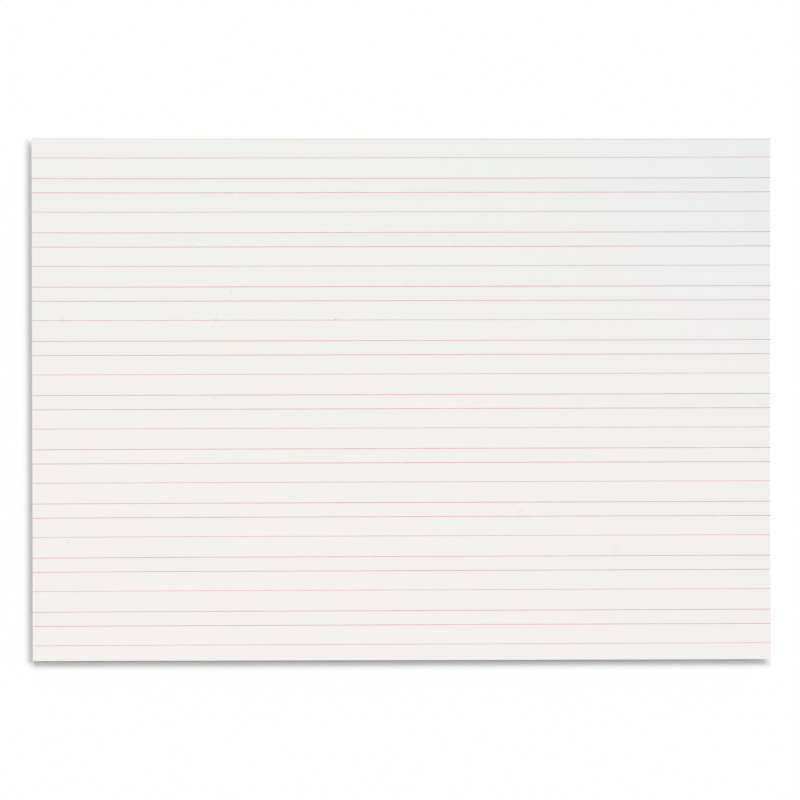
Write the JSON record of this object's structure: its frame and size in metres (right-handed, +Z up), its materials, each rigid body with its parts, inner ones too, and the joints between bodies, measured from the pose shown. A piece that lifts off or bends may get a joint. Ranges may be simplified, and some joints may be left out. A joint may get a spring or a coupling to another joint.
{
  "type": "sheet of double-lined paper",
  "caption": "Loose landscape sheet of handwriting paper with pairs of fine pink lines parted by fainter lines, resting on a table with two edges slightly curled.",
  "frame": {"origin": "on the table under the middle of the sheet", "axes": "+X along the ruled lines to the right, +Y to the head of the page, +Z up out of the ruled face"},
  "size_m": [0.297, 0.21, 0.0019],
  "materials": {
    "paper": "uncoated, matt, warm white",
    "ruling_ink": "pale pink printed ink, matt, as absorbent as the paper under it"
  },
  "bodies": {
    "root": {"sheet": "paper", "pair_lines": "ruling_ink", "dividing_lines": "ruling_ink"}
  },
  "joints": []
}
